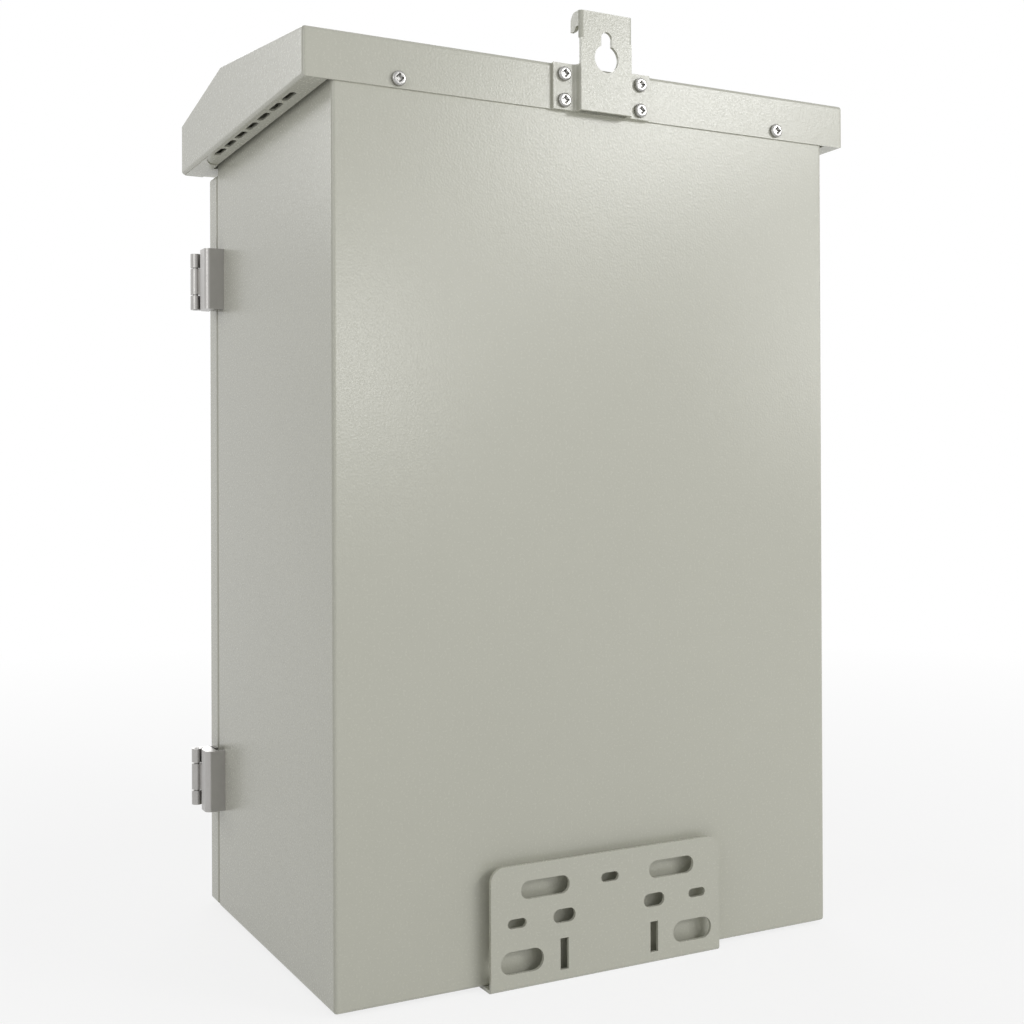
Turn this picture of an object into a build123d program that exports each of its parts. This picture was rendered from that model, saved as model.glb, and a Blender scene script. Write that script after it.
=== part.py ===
from build123d import *
import math
import os

# Roadside utility cabinet: a pole-mounted sheet steel box with a rain hood, a hinged door,
# a keyhole hanger at the top of its back and a slotted pole bracket at the bottom.
# Frame: +X to the right and -Y to the front for someone who faces the door, +Z up.
# The origin lies under the middle of the whole cabinet, at its lowest face.

# Body shell
body_width = 400.0
body_depth = 259.5
body_height = 626.5
sheet = 1.5
bend_radius = 2.5
rim_return = 24.0
rim_lip = 9.0

# Door
door_height = 584.5
door_bottom_gap = 0.5
door_seam = 1.0
door_depth = 21.5
door_hem = 12.0
gasket_width = 12.0
soft_gap = 0.3

# Rain hood
hood_side_overhang = 20.0
hood_front_overhang = 33.5
hood_lip_height = 32.1
hood_front_height = 40.3
hood_ridge_rise = 20.7
hood_front_rise = 0.8
hood_ridge_from_back = 182.0
hood_top_gap = 0.7
hood_side_gap = 3.0
hood_door_gap = 2.5
hood_slot_count = 7
hood_slot_length = 21.0
hood_slot_width = 4.6
hood_slot_pitch = 26.6
hood_slot_first = 46.8
hood_slot_from_edge = 7.5
hood_lap_length = 47.0
hood_lap_sweep = 23.0
hood_lap_nose = 8.5
hood_lap_sheet = 0.7
hood_screw_spacing = 309.0
hood_screw_up = 6.0

# Pole fixings
stand_off = 10.0
bracket_sheet = 2.5
hanger_width = 43.0
hanger_flange_span = 79.0
hanger_height = 69.2
hanger_bend = 2.8
hanger_ear_reach = 13.0
hanger_ear_height = 13.0
hanger_ear_nose = 6.0
hanger_notch = 0.8
hanger_claw_step = 2.5
hanger_screw_spacing_x = 62.4
hanger_screw_spacing_z = 18.3
hanger_screw_up = 6.2
keyhole_radius = 9.75
keyhole_slot_width = 8.8
keyhole_up = 37.6
keyhole_throat = 14.2
bracket_width = 186.5
bracket_height = 83.5
bracket_corner = 9.5
bracket_foot = 48.0
bracket_bolt_spacing = 70.0
bracket_bolt_back = 22.0

# Pole bracket slots: length, width, distance out from the middle and height above the foot
bracket_upper_slot = (38.0, 12.5, 51.5, 66.1)
bracket_top_slot = (14.3, 6.4, 0.0, 66.1)
bracket_middle_slot = (17.5, 9.5, 36.7, 44.7)
bracket_outer_slot = (14.3, 6.4, 73.4, 44.7)
bracket_lower_slot = (33.0, 15.5, 69.4, 18.6)
band_slot_width = 6.5
band_slot_height = 21.5
band_slot_up = 18.6

# Hinges
hinge_up = (103.5, 499.0)
hinge_height = 47.5
hinge_block_out = 15.3
hinge_block_front = 3.0
hinge_block_shoulder = 5.0
hinge_block_taper = 3.3
hinge_foot_back = 18.7
hinge_foot = 4.2
hinge_pocket = 6.2
hinge_corner = 4.0
hinge_pin_out = 15.3
hinge_pin_ahead = 8.5
hinge_pin_radius = 2.0
hinge_pin_recess = 1.0
knuckle_radius = 4.0
knuckle_middle = 20.5
knuckle_end = 11.0
knuckle_gap = 1.0
hinge_leaf = 2.5
hinge_leaf_back = 6.0
hinge_screw_spread = 28.0
hinge_screw_back = 8.0
hinge_boss_radius = 4.5
door_screw_ahead = 7.5

# Door latch
latch_in_from_edge = 62.0
latch_flange_radius = 23.0
latch_flange = 6.0
latch_gasket = 1.0
latch_tube_radius = 11.0
latch_nut_height = 6.0
latch_nut_radius = 17.0
spindle_radius = 6.0
spindle_square = 9.0
hub_radius = 17.0
hub_length = 18.0
hub_gap = 0.5
grip_length = 112.0
grip_width = 20.0
grip_height = 10.0
barrel_radius = 8.0
barrel_depth = 12.0
barrel_proud = 3.0
keyway_length = 9.0
keyway_width = 2.4
cam_thickness = 4.0
cam_width = 18.0
cam_throw = 18.0
cam_pin_radius = 2.5
cam_pin_play = 0.7
cam_rod_gap = 1.0
rod_width = 18.0
rod_thickness = 4.0
rod_rim_gap = 0.5
rod_tip_gap = 6.0
rod_tip_taper = 5.0
rod_end_margin = 4.0
guide_wall = 4.0
guide_length = 14.0
guide_ear = 12.0
guide_base = 3.0
guide_play = 0.3
guide_near = 60.0
guide_far = 32.0

# Inside fittings
plate_width = 340.0
plate_bottom_up = 30.0
plate_top_up = 590.0
plate_sheet = 2.0
plate_fold = 10.0
plate_stud_inset_x = 15.0
plate_stud_inset_z = 20.0
spacer_length = 18.0
spacer_radius = 6.0
gland_opening = (200.0, 120.0)
gland_overlap = 15.0
gland_gasket_sheet = 2.0
gland_stud_inset = 7.0
plug_sites = ((-60.0, 20.0, 16.25), (0.0, 20.0, 16.25), (60.0, 20.0, 16.25),
              (-30.0, -30.0, 10.25), (30.0, -30.0, 10.25))
plug_lip = 3.0
plug_head = 1.8
plug_wall = 1.6
plug_rise = 3.0
vent_count = 7
vent_width = 6.0
vent_height = 16.0
vent_pitch = 20.0
vent_down = 16.0
screen_size = (164.0, 24.0)
screen_sheet = 1.0
screen_hole_radius = 2.2
screen_pitch = 7.4
screen_rivet_inset = 6.0
earth_up = 60.0
earth_back = 60.0
earth_length = 24.0
door_earth_in = 60.0

# Fasteners: shank radius, head radius, head height
m5_pan = (2.5, 5.0, 3.0)
m4_pan = (2.0, 4.0, 3.1)
m5_flat_head_radius = 4.9
m6_cap = (3.0, 5.0, 4.0)
m6_radius = 3.0
m8_radius = 4.0
thread_gap = 0.1
hole_gap = 0.3
clinch_nut_radius = 3.8
clinch_nut_height = 4.0
rivet_radius = 1.6
rivet_head_radius = 3.2
rivet_head = 1.0
running_gap = 0.05
latch_running_gap = 0.1

# Places worked out from the sizes
half_width = body_width / 2
handle_reach = latch_gasket + latch_flange + hub_gap + hub_length + barrel_proud
overall_depth = stand_off + body_depth + door_seam + door_depth + handle_reach
back_y = overall_depth / 2 - stand_off
rim_y = back_y - body_depth
door_back_y = rim_y - door_seam
door_front_y = door_back_y - door_depth
door_inner_y = door_front_y + sheet
floor_z = bracket_sheet
floor_inner_z = floor_z + sheet
top_z = floor_z + body_height
door_low_z = floor_z + door_bottom_gap
door_top_z = door_low_z + door_height
opening_low_z = floor_z + rim_return
opening_high_z = door_top_z - rim_return
opening_half = half_width - rim_return
inner_back_y = back_y - sheet
inner_half = half_width - sheet

hood_lip_top_z = top_z + hood_top_gap + sheet
hood_lip_low_z = hood_lip_top_z - hood_lip_height
hood_ridge_z = hood_lip_top_z + hood_ridge_rise
hood_front_top_z = hood_lip_top_z + hood_front_rise
hood_front_low_z = hood_front_top_z - hood_front_height
hood_back_y = back_y + sheet
hood_front_y = rim_y - hood_front_overhang
hood_half = half_width + hood_side_overhang

pole_y = back_y + stand_off
hanger_low_z = hood_lip_low_z
keyhole_z = hanger_low_z + keyhole_up

latch_x = -half_width + latch_in_from_edge
latch_z = (door_low_z + door_top_z) / 2
rod_front_y = rim_y + sheet + rod_rim_gap
rod_back_y = rod_front_y + rod_thickness
cam_back_y = rod_front_y - cam_rod_gap
cam_front_y = cam_back_y - cam_thickness
pin_side = cam_throw * math.cos(math.radians(45))
rod_travel = 2 * pin_side
rod_slot_in = pin_side - cam_pin_radius - cam_pin_play
rod_slot_out = cam_throw + cam_pin_radius + cam_pin_play
rod_slot_height = 2 * (cam_pin_radius + cam_pin_play)
rod_offset = (rod_slot_in + rod_slot_out) / 2

hinge_z = [floor_z + up for up in hinge_up]
pin_x = half_width + hinge_pin_out
pin_y = rim_y - hinge_pin_ahead
knuckle_stack = knuckle_middle + 2 * (knuckle_gap + knuckle_end)


# Basic shapes
def block(x, y, z):
    """A box between two limits along each axis."""
    centre = Pos((x[0] + x[1]) / 2, (y[0] + y[1]) / 2, (z[0] + z[1]) / 2)
    return centre * Box(x[1] - x[0], y[1] - y[0], z[1] - z[0])


def round_x(x, y, z, radius):
    """A round bar along X between two limits."""
    return Pos((x[0] + x[1]) / 2, y, z) * Rot(0, 90, 0) * Cylinder(radius, x[1] - x[0])


def round_y(x, y, z, radius):
    """A round bar along Y between two limits."""
    return Pos(x, (y[0] + y[1]) / 2, z) * Rot(90, 0, 0) * Cylinder(radius, y[1] - y[0])


def round_z(x, y, z, radius):
    """A round bar along Z between two limits."""
    return Pos(x, y, (z[0] + z[1]) / 2) * Cylinder(radius, z[1] - z[0])


def prism_x(points, half_length):
    """An outline of (y, z) points carried along X, the same length to both sides."""
    outline = Polyline(*[(0, y, z) for y, z in points], close=True)
    return extrude(make_face(outline), half_length, dir=(1, 0, 0), both=True)


def prism_y(points, y):
    """An outline of (x, z) points carried along Y between two limits."""
    outline = Polyline(*[(px, y[0], pz) for px, pz in points], close=True)
    return extrude(make_face(outline), y[1] - y[0], dir=(0, 1, 0))


def prism_z(points, z):
    """An outline of (x, y) points carried along Z between two limits."""
    outline = Polyline(*[(px, py, z[0]) for px, py in points], close=True)
    return extrude(make_face(outline), z[1] - z[0], dir=(0, 0, 1))


def slot_y(x, z, length, width, y):
    """A round-ended slot that lies along X and is cut along Y."""
    body = extrude(SlotOverall(length, width), (y[1] - y[0]) / 2, both=True)
    return Pos(x, (y[0] + y[1]) / 2, z) * Rot(90, 0, 0) * body


def nut_z(radius_across_corners, bore, z):
    """A hexagon nut on the Z axis between two heights."""
    body = Pos(0, 0, z[0]) * extrude(RegularPolygon(radius_across_corners, 6), z[1] - z[0])
    return body - round_z(0, 0, z, bore)


def round_edges(shape, axis, places, radius):
    """Round the edges along an axis whose middles lie at the given places across it."""
    chosen = []
    for edge in shape.edges().filter_by(axis):
        middle = edge.center()
        across = {Axis.X: (middle.Y, middle.Z), Axis.Y: (middle.X, middle.Z), Axis.Z: (middle.X, middle.Y)}[axis]
        if any(abs(across[0] - a) + abs(across[1] - b) < bend_radius / 10 for a, b in places):
            chosen.append(edge)
    return fillet(chosen, radius)


# Fasteners, made with the head above Z = 0 and the shank below it
def pan_screw(kind, length):
    """A pan head screw with a cross recess."""
    shank_radius, head_radius, head_height = kind
    head = round_z(0, 0, (0, head_height), head_radius)
    head = fillet(head.edges().group_by(Axis.Z)[-1], head_height * 0.55)
    wing = head_radius * 1.24
    wing_width = head_radius * 0.3
    recess_depth = head_height * 0.75
    recess_z = (head_height - recess_depth, head_height + 1)
    recess = block((-wing / 2, wing / 2), (-wing_width / 2, wing_width / 2), recess_z)
    recess += block((-wing_width / 2, wing_width / 2), (-wing / 2, wing / 2), recess_z)
    recess += Pos(0, 0, head_height - recess_depth / 2) * Cone(wing_width * 0.5, wing * 0.4, recess_depth)
    return head - recess + round_z(0, 0, (-length, 0), shank_radius)


def facing_back(x, y, z):
    """Turns a fastener so that its head faces the back of the cabinet."""
    return Pos(x, y, z) * Rot(-90, 0, 0)


def facing_front(x, y, z):
    """Turns a fastener so that its head faces the front of the cabinet."""
    return Pos(x, y, z) * Rot(90, 0, 0)


def facing_left(x, y, z):
    """Turns a fastener so that its head faces -X."""
    return Pos(x, y, z) * Rot(0, -90, 0)


# Fixing points, each (x, z) on the back wall
hood_screw_points = [(side * hood_screw_spacing / 2, hood_lip_low_z + hood_screw_up) for side in (-1, 1)]
hanger_screw_points = [
    (side * hanger_screw_spacing_x / 2, hanger_low_z + hanger_screw_up + step * hanger_screw_spacing_z)
    for side in (-1, 1)
    for step in (0, 1)
]
plate_stud_points = [
    (side * (plate_width / 2 - plate_stud_inset_x), z)
    for side in (-1, 1)
    for z in (floor_z + plate_bottom_up + plate_stud_inset_z, floor_z + plate_top_up - plate_stud_inset_z)
]
bracket_bolt_points = [(step * bracket_bolt_spacing, back_y - bracket_bolt_back) for step in (-1, 0, 1)]
gland_centre_y = (inner_back_y + rim_y) / 2
gland_half_x = gland_opening[0] / 2 + gland_overlap
gland_half_y = gland_opening[1] / 2 + gland_overlap
gland_stud_points = [
    (step * (gland_half_x - gland_stud_inset), gland_centre_y + side * (gland_half_y - gland_stud_inset))
    for step in (-1, 0, 1)
    for side in (-1, 1)
]
hinge_screw_z = [z + side * hinge_screw_spread / 2 for z in hinge_z for side in (-1, 1)]
vent_centre_y = (back_y + rim_y) / 2
vent_z = top_z - vent_down
screen_rivet_y = [vent_centre_y + side * (screen_size[0] / 2 - screen_rivet_inset) for side in (-1, 1)]
screen_columns = int((screen_size[0] - 4 * screen_rivet_inset) / screen_pitch)
screen_rows = int(screen_size[1] / screen_pitch)


# Body shell and what is fixed in it
def make_body_sheets():
    """Back, sides, top and bottom, and the flat frame with a raised rain lip welded in front of them."""
    outer = block((-half_width, half_width), (rim_y, back_y), (floor_z, top_z))
    outer = fillet(outer.edges(), bend_radius)
    inner_edges = [(sx, y) for sx in (-inner_half, inner_half) for y in (rim_y + sheet, inner_back_y)]
    hollow = block((-inner_half, inner_half), (rim_y + sheet, inner_back_y), (floor_inner_z, top_z - sheet))
    hollow = round_edges(hollow, Axis.Z, inner_edges, bend_radius - sheet)
    lip = block((-opening_half - sheet, opening_half + sheet), (rim_y - rim_lip, rim_y + sheet / 2),
                (opening_low_z - sheet, opening_high_z + sheet))
    opening = block((-opening_half, opening_half), (rim_y - rim_lip, rim_y + sheet),
                    (opening_low_z, opening_high_z))
    shell = outer - hollow + lip - opening
    for x, z in hood_screw_points + hanger_screw_points:
        shell -= round_y(x, (inner_back_y, back_y), z, m5_pan[0] + hole_gap)
    for z in hinge_screw_z:
        shell -= round_x((inner_half, half_width), rim_y + hinge_screw_back, z, m5_pan[0] + hole_gap)
    for x, y in bracket_bolt_points:
        shell -= round_z(x, y, (floor_z, floor_inner_z), m5_pan[0] + hole_gap)
    shell -= block((-gland_opening[0] / 2, gland_opening[0] / 2),
                   (gland_centre_y - gland_opening[1] / 2, gland_centre_y + gland_opening[1] / 2),
                   (floor_z, floor_inner_z))
    for index in range(vent_count):
        y = vent_centre_y + (index - (vent_count - 1) / 2) * vent_pitch
        shell -= block((-half_width, half_width), (y - vent_width / 2, y + vent_width / 2),
                       (vent_z - vent_height / 2, vent_z + vent_height / 2))
    for y in screen_rivet_y:
        shell -= round_x((-half_width, half_width), y, vent_z, rivet_radius + thread_gap)
    front = block((-half_width, half_width), (rim_y - rim_lip, rim_y + sheet), (floor_z, top_z))
    return shell - front, shell & front


def make_rain_hood():
    """One folded sheet: ridged roof, back lip, front, side skirts and slotted return flanges."""
    ridge_y = back_y - hood_ridge_from_back
    profile = [
        (hood_back_y, hood_lip_low_z),
        (hood_back_y, hood_lip_top_z),
        (ridge_y, hood_ridge_z),
        (hood_front_y, hood_front_top_z),
        (hood_front_y, hood_front_low_z),
    ]
    outer = prism_x(profile, hood_half)
    lip_foot = [edge for edge in outer.edges().filter_by(Axis.X)
                if abs(edge.center().Z - hood_lip_low_z) < sheet and edge.center().Y > back_y]
    outer = fillet([edge for edge in outer.edges() if edge not in lip_foot], bend_radius)
    face = make_face(Plane.YZ * Polyline(*profile, close=True))
    inset = offset(face, -sheet, kind=Kind.INTERSECTION)
    hollow = extrude(inset, hood_half - sheet, dir=(1, 0, 0), both=True)
    hollow = fillet(hollow.edges(), bend_radius - sheet)
    hood = outer - hollow
    window_half = half_width + hood_side_gap
    hood -= block((-window_half, window_half), (rim_y - hood_door_gap, back_y),
                  (hood_front_low_z - sheet, hood_lip_low_z + 2 * sheet))
    hood += make_hood_laps()
    for slot in make_hood_slots():
        hood -= slot
    for x, z in hood_screw_points + hanger_screw_points:
        hood -= round_y(x, (back_y, hood_back_y), z, m5_pan[0] + hole_gap)
    return hood


def hood_foot_plane(x, y):
    """The plane of the hood's lower edge, which falls towards the front, at one point."""
    fall = (hood_lip_low_z - hood_front_low_z) / (hood_back_y - hood_front_y)
    z = hood_lip_low_z - fall * (hood_back_y - y)
    return Plane(origin=(x, y, z), x_dir=(1, 0, 0), z_dir=(0, -fall, 1))


def make_hood_slots():
    """The vent slots in both side return flanges."""
    slots = []
    for side in (-1, 1):
        x = side * (hood_half - hood_slot_from_edge)
        for index in range(hood_slot_count):
            y = back_y - hood_slot_first - index * hood_slot_pitch
            slot = Rot(0, 0, 90) * SlotOverall(hood_slot_length, hood_slot_width)
            slots.append(hood_foot_plane(x, y) * extrude(slot, 3 * sheet, both=True))
    return slots


def make_hood_laps():
    """The tabs of the front return that lap under the side flanges at both front corners."""
    laps = []
    for side in (-1, 1):
        inner = half_width + hood_side_gap
        outer = hood_half - bend_radius
        tip_y = hood_front_y + hood_lap_length
        plane = hood_foot_plane(0, hood_front_y + bend_radius)
        run = hood_lap_length - bend_radius
        nose = outer - hood_lap_nose
        edge = Polyline((side * outer, run + hood_lap_sweep), (side * outer, 0), (side * inner, 0),
                        (side * inner, run), (side * nose, run))
        middle = (side * (nose + 0.7 * hood_lap_nose), run + hood_lap_sweep / 2)
        sweep = ThreePointArc((side * nose, run), middle, (side * outer, run + hood_lap_sweep))
        tab = extrude(make_face(edge + sweep), hood_lap_sheet + sheet / 2)
        laps.append(plane * Pos(0, 0, -hood_lap_sheet) * tab)
    return laps


def make_clinch_nuts(points):
    """Round clinch nuts on the inner face of the back wall."""
    nuts = []
    for x, z in points:
        reach = (inner_back_y - clinch_nut_height, inner_back_y)
        nuts.append(round_y(x, reach, z, clinch_nut_radius) - round_y(x, reach, z, m5_pan[0] + thread_gap))
    return nuts


def make_hood_screws():
    """The two screws through the hood's back lip."""
    length = hood_back_y - inner_back_y + clinch_nut_height + 1
    return [facing_back(x, hood_back_y, z) * pan_screw(m5_pan, length) for x, z in hood_screw_points]


def make_hanger_screws():
    """The four screws through the hanger, the hood's lip and the back wall."""
    face_y = hood_back_y + bracket_sheet
    length = face_y - inner_back_y + clinch_nut_height + 1
    return [facing_back(x, face_y, z) * pan_screw(m5_pan, length) for x, z in hanger_screw_points]


# Pole fixings
def make_hanger_plate():
    """Raised keyhole plate with two screwed flanges and two hooked ears at its top."""
    half = hanger_width / 2
    flange_half = hanger_flange_span / 2
    plate_y = (pole_y - bracket_sheet, pole_y)
    flange_y = (hood_back_y, hood_back_y + bracket_sheet)
    top = hanger_low_z + hanger_height
    flange_top = hood_lip_top_z
    low = (hanger_low_z, flange_top)
    lower = block((-half, half), (flange_y[0], pole_y), low)
    lower = round_edges(lower, Axis.Z, [(-half, pole_y), (half, pole_y)], hanger_bend)
    lower += block((-flange_half, flange_half), flange_y, low)
    lower = round_edges(lower, Axis.Z, [(-half, flange_y[1]), (half, flange_y[1])], hanger_bend)
    inner_half_width = half - bracket_sheet
    lower -= block((-inner_half_width, inner_half_width), (flange_y[0], plate_y[0]), low)
    neck = half - hanger_notch
    plate = lower + block((-neck, neck), plate_y, (hanger_low_z, top))
    ear_front = pole_y - hanger_ear_reach
    ear_low = top - hanger_ear_height
    upper_low = ear_low - hanger_ear_nose
    ears = block((-half, half), (ear_front, pole_y), (upper_low, top))
    ears = round_edges(ears, Axis.Z, [(-half, pole_y), (half, pole_y)], hanger_bend)
    ears = round_edges(ears, Axis.X, [(ear_front, top)], hanger_ear_nose)
    ears -= block((-inner_half_width, inner_half_width), (ear_front, plate_y[0]), (upper_low, top))
    claw_back = ear_front + hanger_ear_reach / 2
    ears -= block((-half, half), (ear_front, plate_y[0]), (upper_low, ear_low))
    ears -= block((-half, half), (claw_back, plate_y[0]), (upper_low, ear_low + hanger_claw_step))
    ears = round_edges(ears, Axis.X, [(claw_back, ear_low)], hanger_claw_step * 0.9)
    sharp = block((-half, half), plate_y, (upper_low, top))
    plate = plate - sharp + ears
    plate -= round_y(0, plate_y, keyhole_z, keyhole_radius)
    throat_top = keyhole_z + keyhole_throat
    plate -= block((-keyhole_slot_width / 2, keyhole_slot_width / 2), plate_y, (keyhole_z, throat_top))
    plate -= round_y(0, plate_y, throat_top, keyhole_slot_width / 2)
    for x, z in hanger_screw_points:
        plate -= round_y(x, flange_y, z, m5_pan[0] + hole_gap)
    return plate


def bracket_slots():
    """Each slot of the pole bracket as (x, z, length, width)."""
    slots = [(0.0, bracket_top_slot[3], bracket_top_slot[0], bracket_top_slot[1])]
    for length, width, out, up in (bracket_upper_slot, bracket_middle_slot, bracket_outer_slot,
                                   bracket_lower_slot):
        slots += [(side * out, up, length, width) for side in (-1, 1)]
    return slots


def make_pole_bracket():
    """The slotted plate that stands off the back wall, with its foot under the floor."""
    half = bracket_width / 2
    plate_y = (pole_y - bracket_sheet, pole_y)
    plate = block((-half, half), plate_y, (0, bracket_height))
    plate = round_edges(plate, Axis.Y, [(-half, bracket_height), (half, bracket_height)], bracket_corner)
    plate += block((-half, half), (pole_y - bracket_foot, pole_y), (0, bracket_sheet))
    plate = round_edges(plate, Axis.X, [(pole_y, 0)], hanger_bend)
    plate = round_edges(plate, Axis.X, [(plate_y[0], bracket_sheet)], hanger_bend - bracket_sheet)
    for x, z, length, width in bracket_slots():
        plate -= slot_y(x, z, length, width, plate_y)
    for side in (-1, 1):
        x = side * bracket_middle_slot[2]
        plate -= block((x - band_slot_width / 2, x + band_slot_width / 2), plate_y,
                       (band_slot_up - band_slot_height / 2, band_slot_up + band_slot_height / 2))
    for x, y in bracket_bolt_points:
        plate -= round_z(x, y, (0, bracket_sheet), m5_pan[0] + thread_gap)
        cone_height = m5_flat_head_radius - m5_pan[0]
        cone = Cone(m5_flat_head_radius + thread_gap, m5_pan[0] + thread_gap, cone_height)
        plate -= Pos(x, y, cone_height / 2) * cone
    return plate


def make_bracket_screws():
    """Flat head screws through the bracket's foot and the floor, heads level with the foot."""
    screws = []
    cone_height = m5_flat_head_radius - m5_pan[0]
    drive_depth = cone_height * 0.7
    for x, y in bracket_bolt_points:
        screw = Pos(0, 0, cone_height / 2) * Cone(m5_flat_head_radius, m5_pan[0], cone_height)
        screw += round_z(0, 0, (cone_height / 2, floor_inner_z + clinch_nut_height + 1), m5_pan[0])
        screw -= block((-m5_pan[0], m5_pan[0]), (-0.6, 0.6), (0, drive_depth))
        screw -= block((-0.6, 0.6), (-m5_pan[0], m5_pan[0]), (0, drive_depth))
        screws.append(Pos(x, y, 0) * screw)
    return screws


def make_bracket_nuts():
    """Clinch nuts on the floor for the bracket's screws."""
    nuts = []
    for x, y in bracket_bolt_points:
        z = (floor_inner_z, floor_inner_z + clinch_nut_height)
        nuts.append(round_z(x, y, z, clinch_nut_radius) - round_z(x, y, z, m5_pan[0] + thread_gap))
    return nuts


# Inside fittings
def make_mounting_plate():
    """Flat equipment plate with folded sides, on four studs in front of the back wall."""
    half = plate_width / 2
    back = inner_back_y - spacer_length
    z = (floor_z + plate_bottom_up, floor_z + plate_top_up)
    plate = block((-half, half), (back - plate_sheet, back + plate_fold), z)
    plate = round_edges(plate, Axis.Z, [(-half, back - plate_sheet), (half, back - plate_sheet)], bend_radius)
    plate -= block((-half + plate_sheet, half - plate_sheet), (back, back + plate_fold), z)
    for x, stud_z in plate_stud_points:
        plate -= round_y(x, (back - plate_sheet, back), stud_z, m6_radius + hole_gap)
    return plate


def make_mounting_studs():
    """Weld studs on the back wall that carry the equipment plate."""
    reach = spacer_length + plate_sheet + 8
    return [round_y(x, (inner_back_y - reach, inner_back_y), z, m6_radius) for x, z in plate_stud_points]


def make_mounting_spacers():
    """Tubes that hold the equipment plate off the back wall."""
    reach = (inner_back_y - spacer_length, inner_back_y)
    return [round_y(x, reach, z, spacer_radius) - round_y(x, reach, z, m6_radius + thread_gap)
            for x, z in plate_stud_points]


def make_mounting_nuts():
    """Hexagon nuts in front of the equipment plate."""
    face = inner_back_y - spacer_length - plate_sheet
    nut = nut_z(2 * m6_radius * 0.96, m6_radius + thread_gap, (0, 5))
    return [facing_front(x, face, z) * nut for x, z in plate_stud_points]


def make_gland_plate():
    """Cable entry plate over the opening in the floor."""
    z = (floor_inner_z + gland_gasket_sheet, floor_inner_z + gland_gasket_sheet + plate_sheet)
    plate = block((-gland_half_x, gland_half_x), (gland_centre_y - gland_half_y, gland_centre_y + gland_half_y), z)
    for x, y, radius in plug_sites:
        plate -= round_z(x, gland_centre_y + y, z, radius)
    for x, y in gland_stud_points:
        plate -= round_z(x, y, z, m5_pan[0] + hole_gap)
    return plate


def make_gland_gasket():
    """Flat rubber ring between the floor and the cable entry plate."""
    z = (floor_inner_z, floor_inner_z + gland_gasket_sheet)
    ring = block((-gland_half_x, gland_half_x), (gland_centre_y - gland_half_y, gland_centre_y + gland_half_y), z)
    ring -= block((-gland_opening[0] / 2, gland_opening[0] / 2),
                  (gland_centre_y - gland_opening[1] / 2, gland_centre_y + gland_opening[1] / 2), z)
    for x, y in gland_stud_points:
        ring -= round_z(x, y, z, m5_pan[0] + hole_gap)
    return ring


def make_gland_studs():
    """Weld studs on the floor for the cable entry plate."""
    top = floor_inner_z + gland_gasket_sheet + plate_sheet + 8
    return [round_z(x, y, (floor_inner_z, top), m5_pan[0]) for x, y in gland_stud_points]


def make_gland_nuts():
    """Hexagon nuts on the cable entry plate."""
    low = floor_inner_z + gland_gasket_sheet + plate_sheet
    nut = nut_z(m5_pan[0] * 1.85, m5_pan[0] + thread_gap, (low, low + 4))
    return [Pos(x, y, 0) * nut for x, y in gland_stud_points]


def make_blanking_plugs():
    """Snap-in plugs that close the cable holes until glands are fitted."""
    low = floor_inner_z + gland_gasket_sheet
    plugs = []
    for x, y, radius in plug_sites:
        plug = round_z(0, 0, (low - plug_head, low), radius + plug_lip)
        plug = fillet(plug.edges().group_by(Axis.Z)[0], plug_head / 2)
        plug += round_z(0, 0, (low - plug_head, low + plate_sheet + plug_rise), radius - thread_gap)
        plug -= round_z(0, 0, (low, low + plate_sheet + plug_rise), radius - thread_gap - plug_wall)
        plugs.append(Pos(x, gland_centre_y + y, 0) * plug)
    return plugs


def make_vent_screen(side):
    """Perforated insect screen inside the vent slots of one side wall."""
    length, height = screen_size
    x = sorted((side * inner_half, side * (inner_half - screen_sheet)))
    screen = block(x, (vent_centre_y - length / 2, vent_centre_y + length / 2),
                   (vent_z - height / 2, vent_z + height / 2))
    for column in range(screen_columns):
        for row in range(screen_rows):
            y = vent_centre_y + (column - (screen_columns - 1) / 2) * screen_pitch
            z = vent_z + (row - (screen_rows - 1) / 2) * screen_pitch
            screen -= round_x(x, y, z, screen_hole_radius)
    for y in screen_rivet_y:
        screen -= round_x(x, y, vent_z, rivet_radius + thread_gap)
    return screen


def make_screen_rivets():
    """Blind rivets that hold both vent screens."""
    rivets = []
    for side in (-1, 1):
        inner = inner_half - screen_sheet
        for y in screen_rivet_y:
            shank = sorted((side * (inner - rivet_head), side * (half_width + rivet_head)))
            outer_head = sorted((side * half_width, side * (half_width + rivet_head)))
            inner_head = sorted((side * (inner - 2 * rivet_head), side * inner))
            rivet = round_x(shank, y, vent_z, rivet_radius)
            rivet += round_x(outer_head, y, vent_z, rivet_head_radius)
            rivet += round_x(inner_head, y, vent_z, rivet_head_radius * 0.75)
            rivets.append(rivet)
    return rivets


def make_earth_stud():
    """Earth stud welded inside the left side wall."""
    y = inner_back_y - earth_back
    return round_x((-inner_half, -inner_half + earth_length), y, floor_z + earth_up, m8_radius)


def make_earth_nut():
    """Nut and two washers on the earth stud."""
    place = Pos(-inner_half, inner_back_y - earth_back, floor_z + earth_up) * Rot(0, 90, 0)
    bore = m8_radius + thread_gap
    washers = [place * (round_z(0, 0, (low, low + 1.6), m8_radius * 2) - round_z(0, 0, (low, low + 1.6), bore))
               for low in (4.0, 5.6)]
    return washers + [place * nut_z(m8_radius * 1.85, bore, (7.2, 13.7)),
                      place * nut_z(m8_radius * 1.85, bore, (0.5, 4.0))]


# Hinges
def hinge_point(out, ahead):
    """A point given by its distance out from the side wall and ahead of the rim."""
    return (half_width + out, rim_y - ahead)


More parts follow.
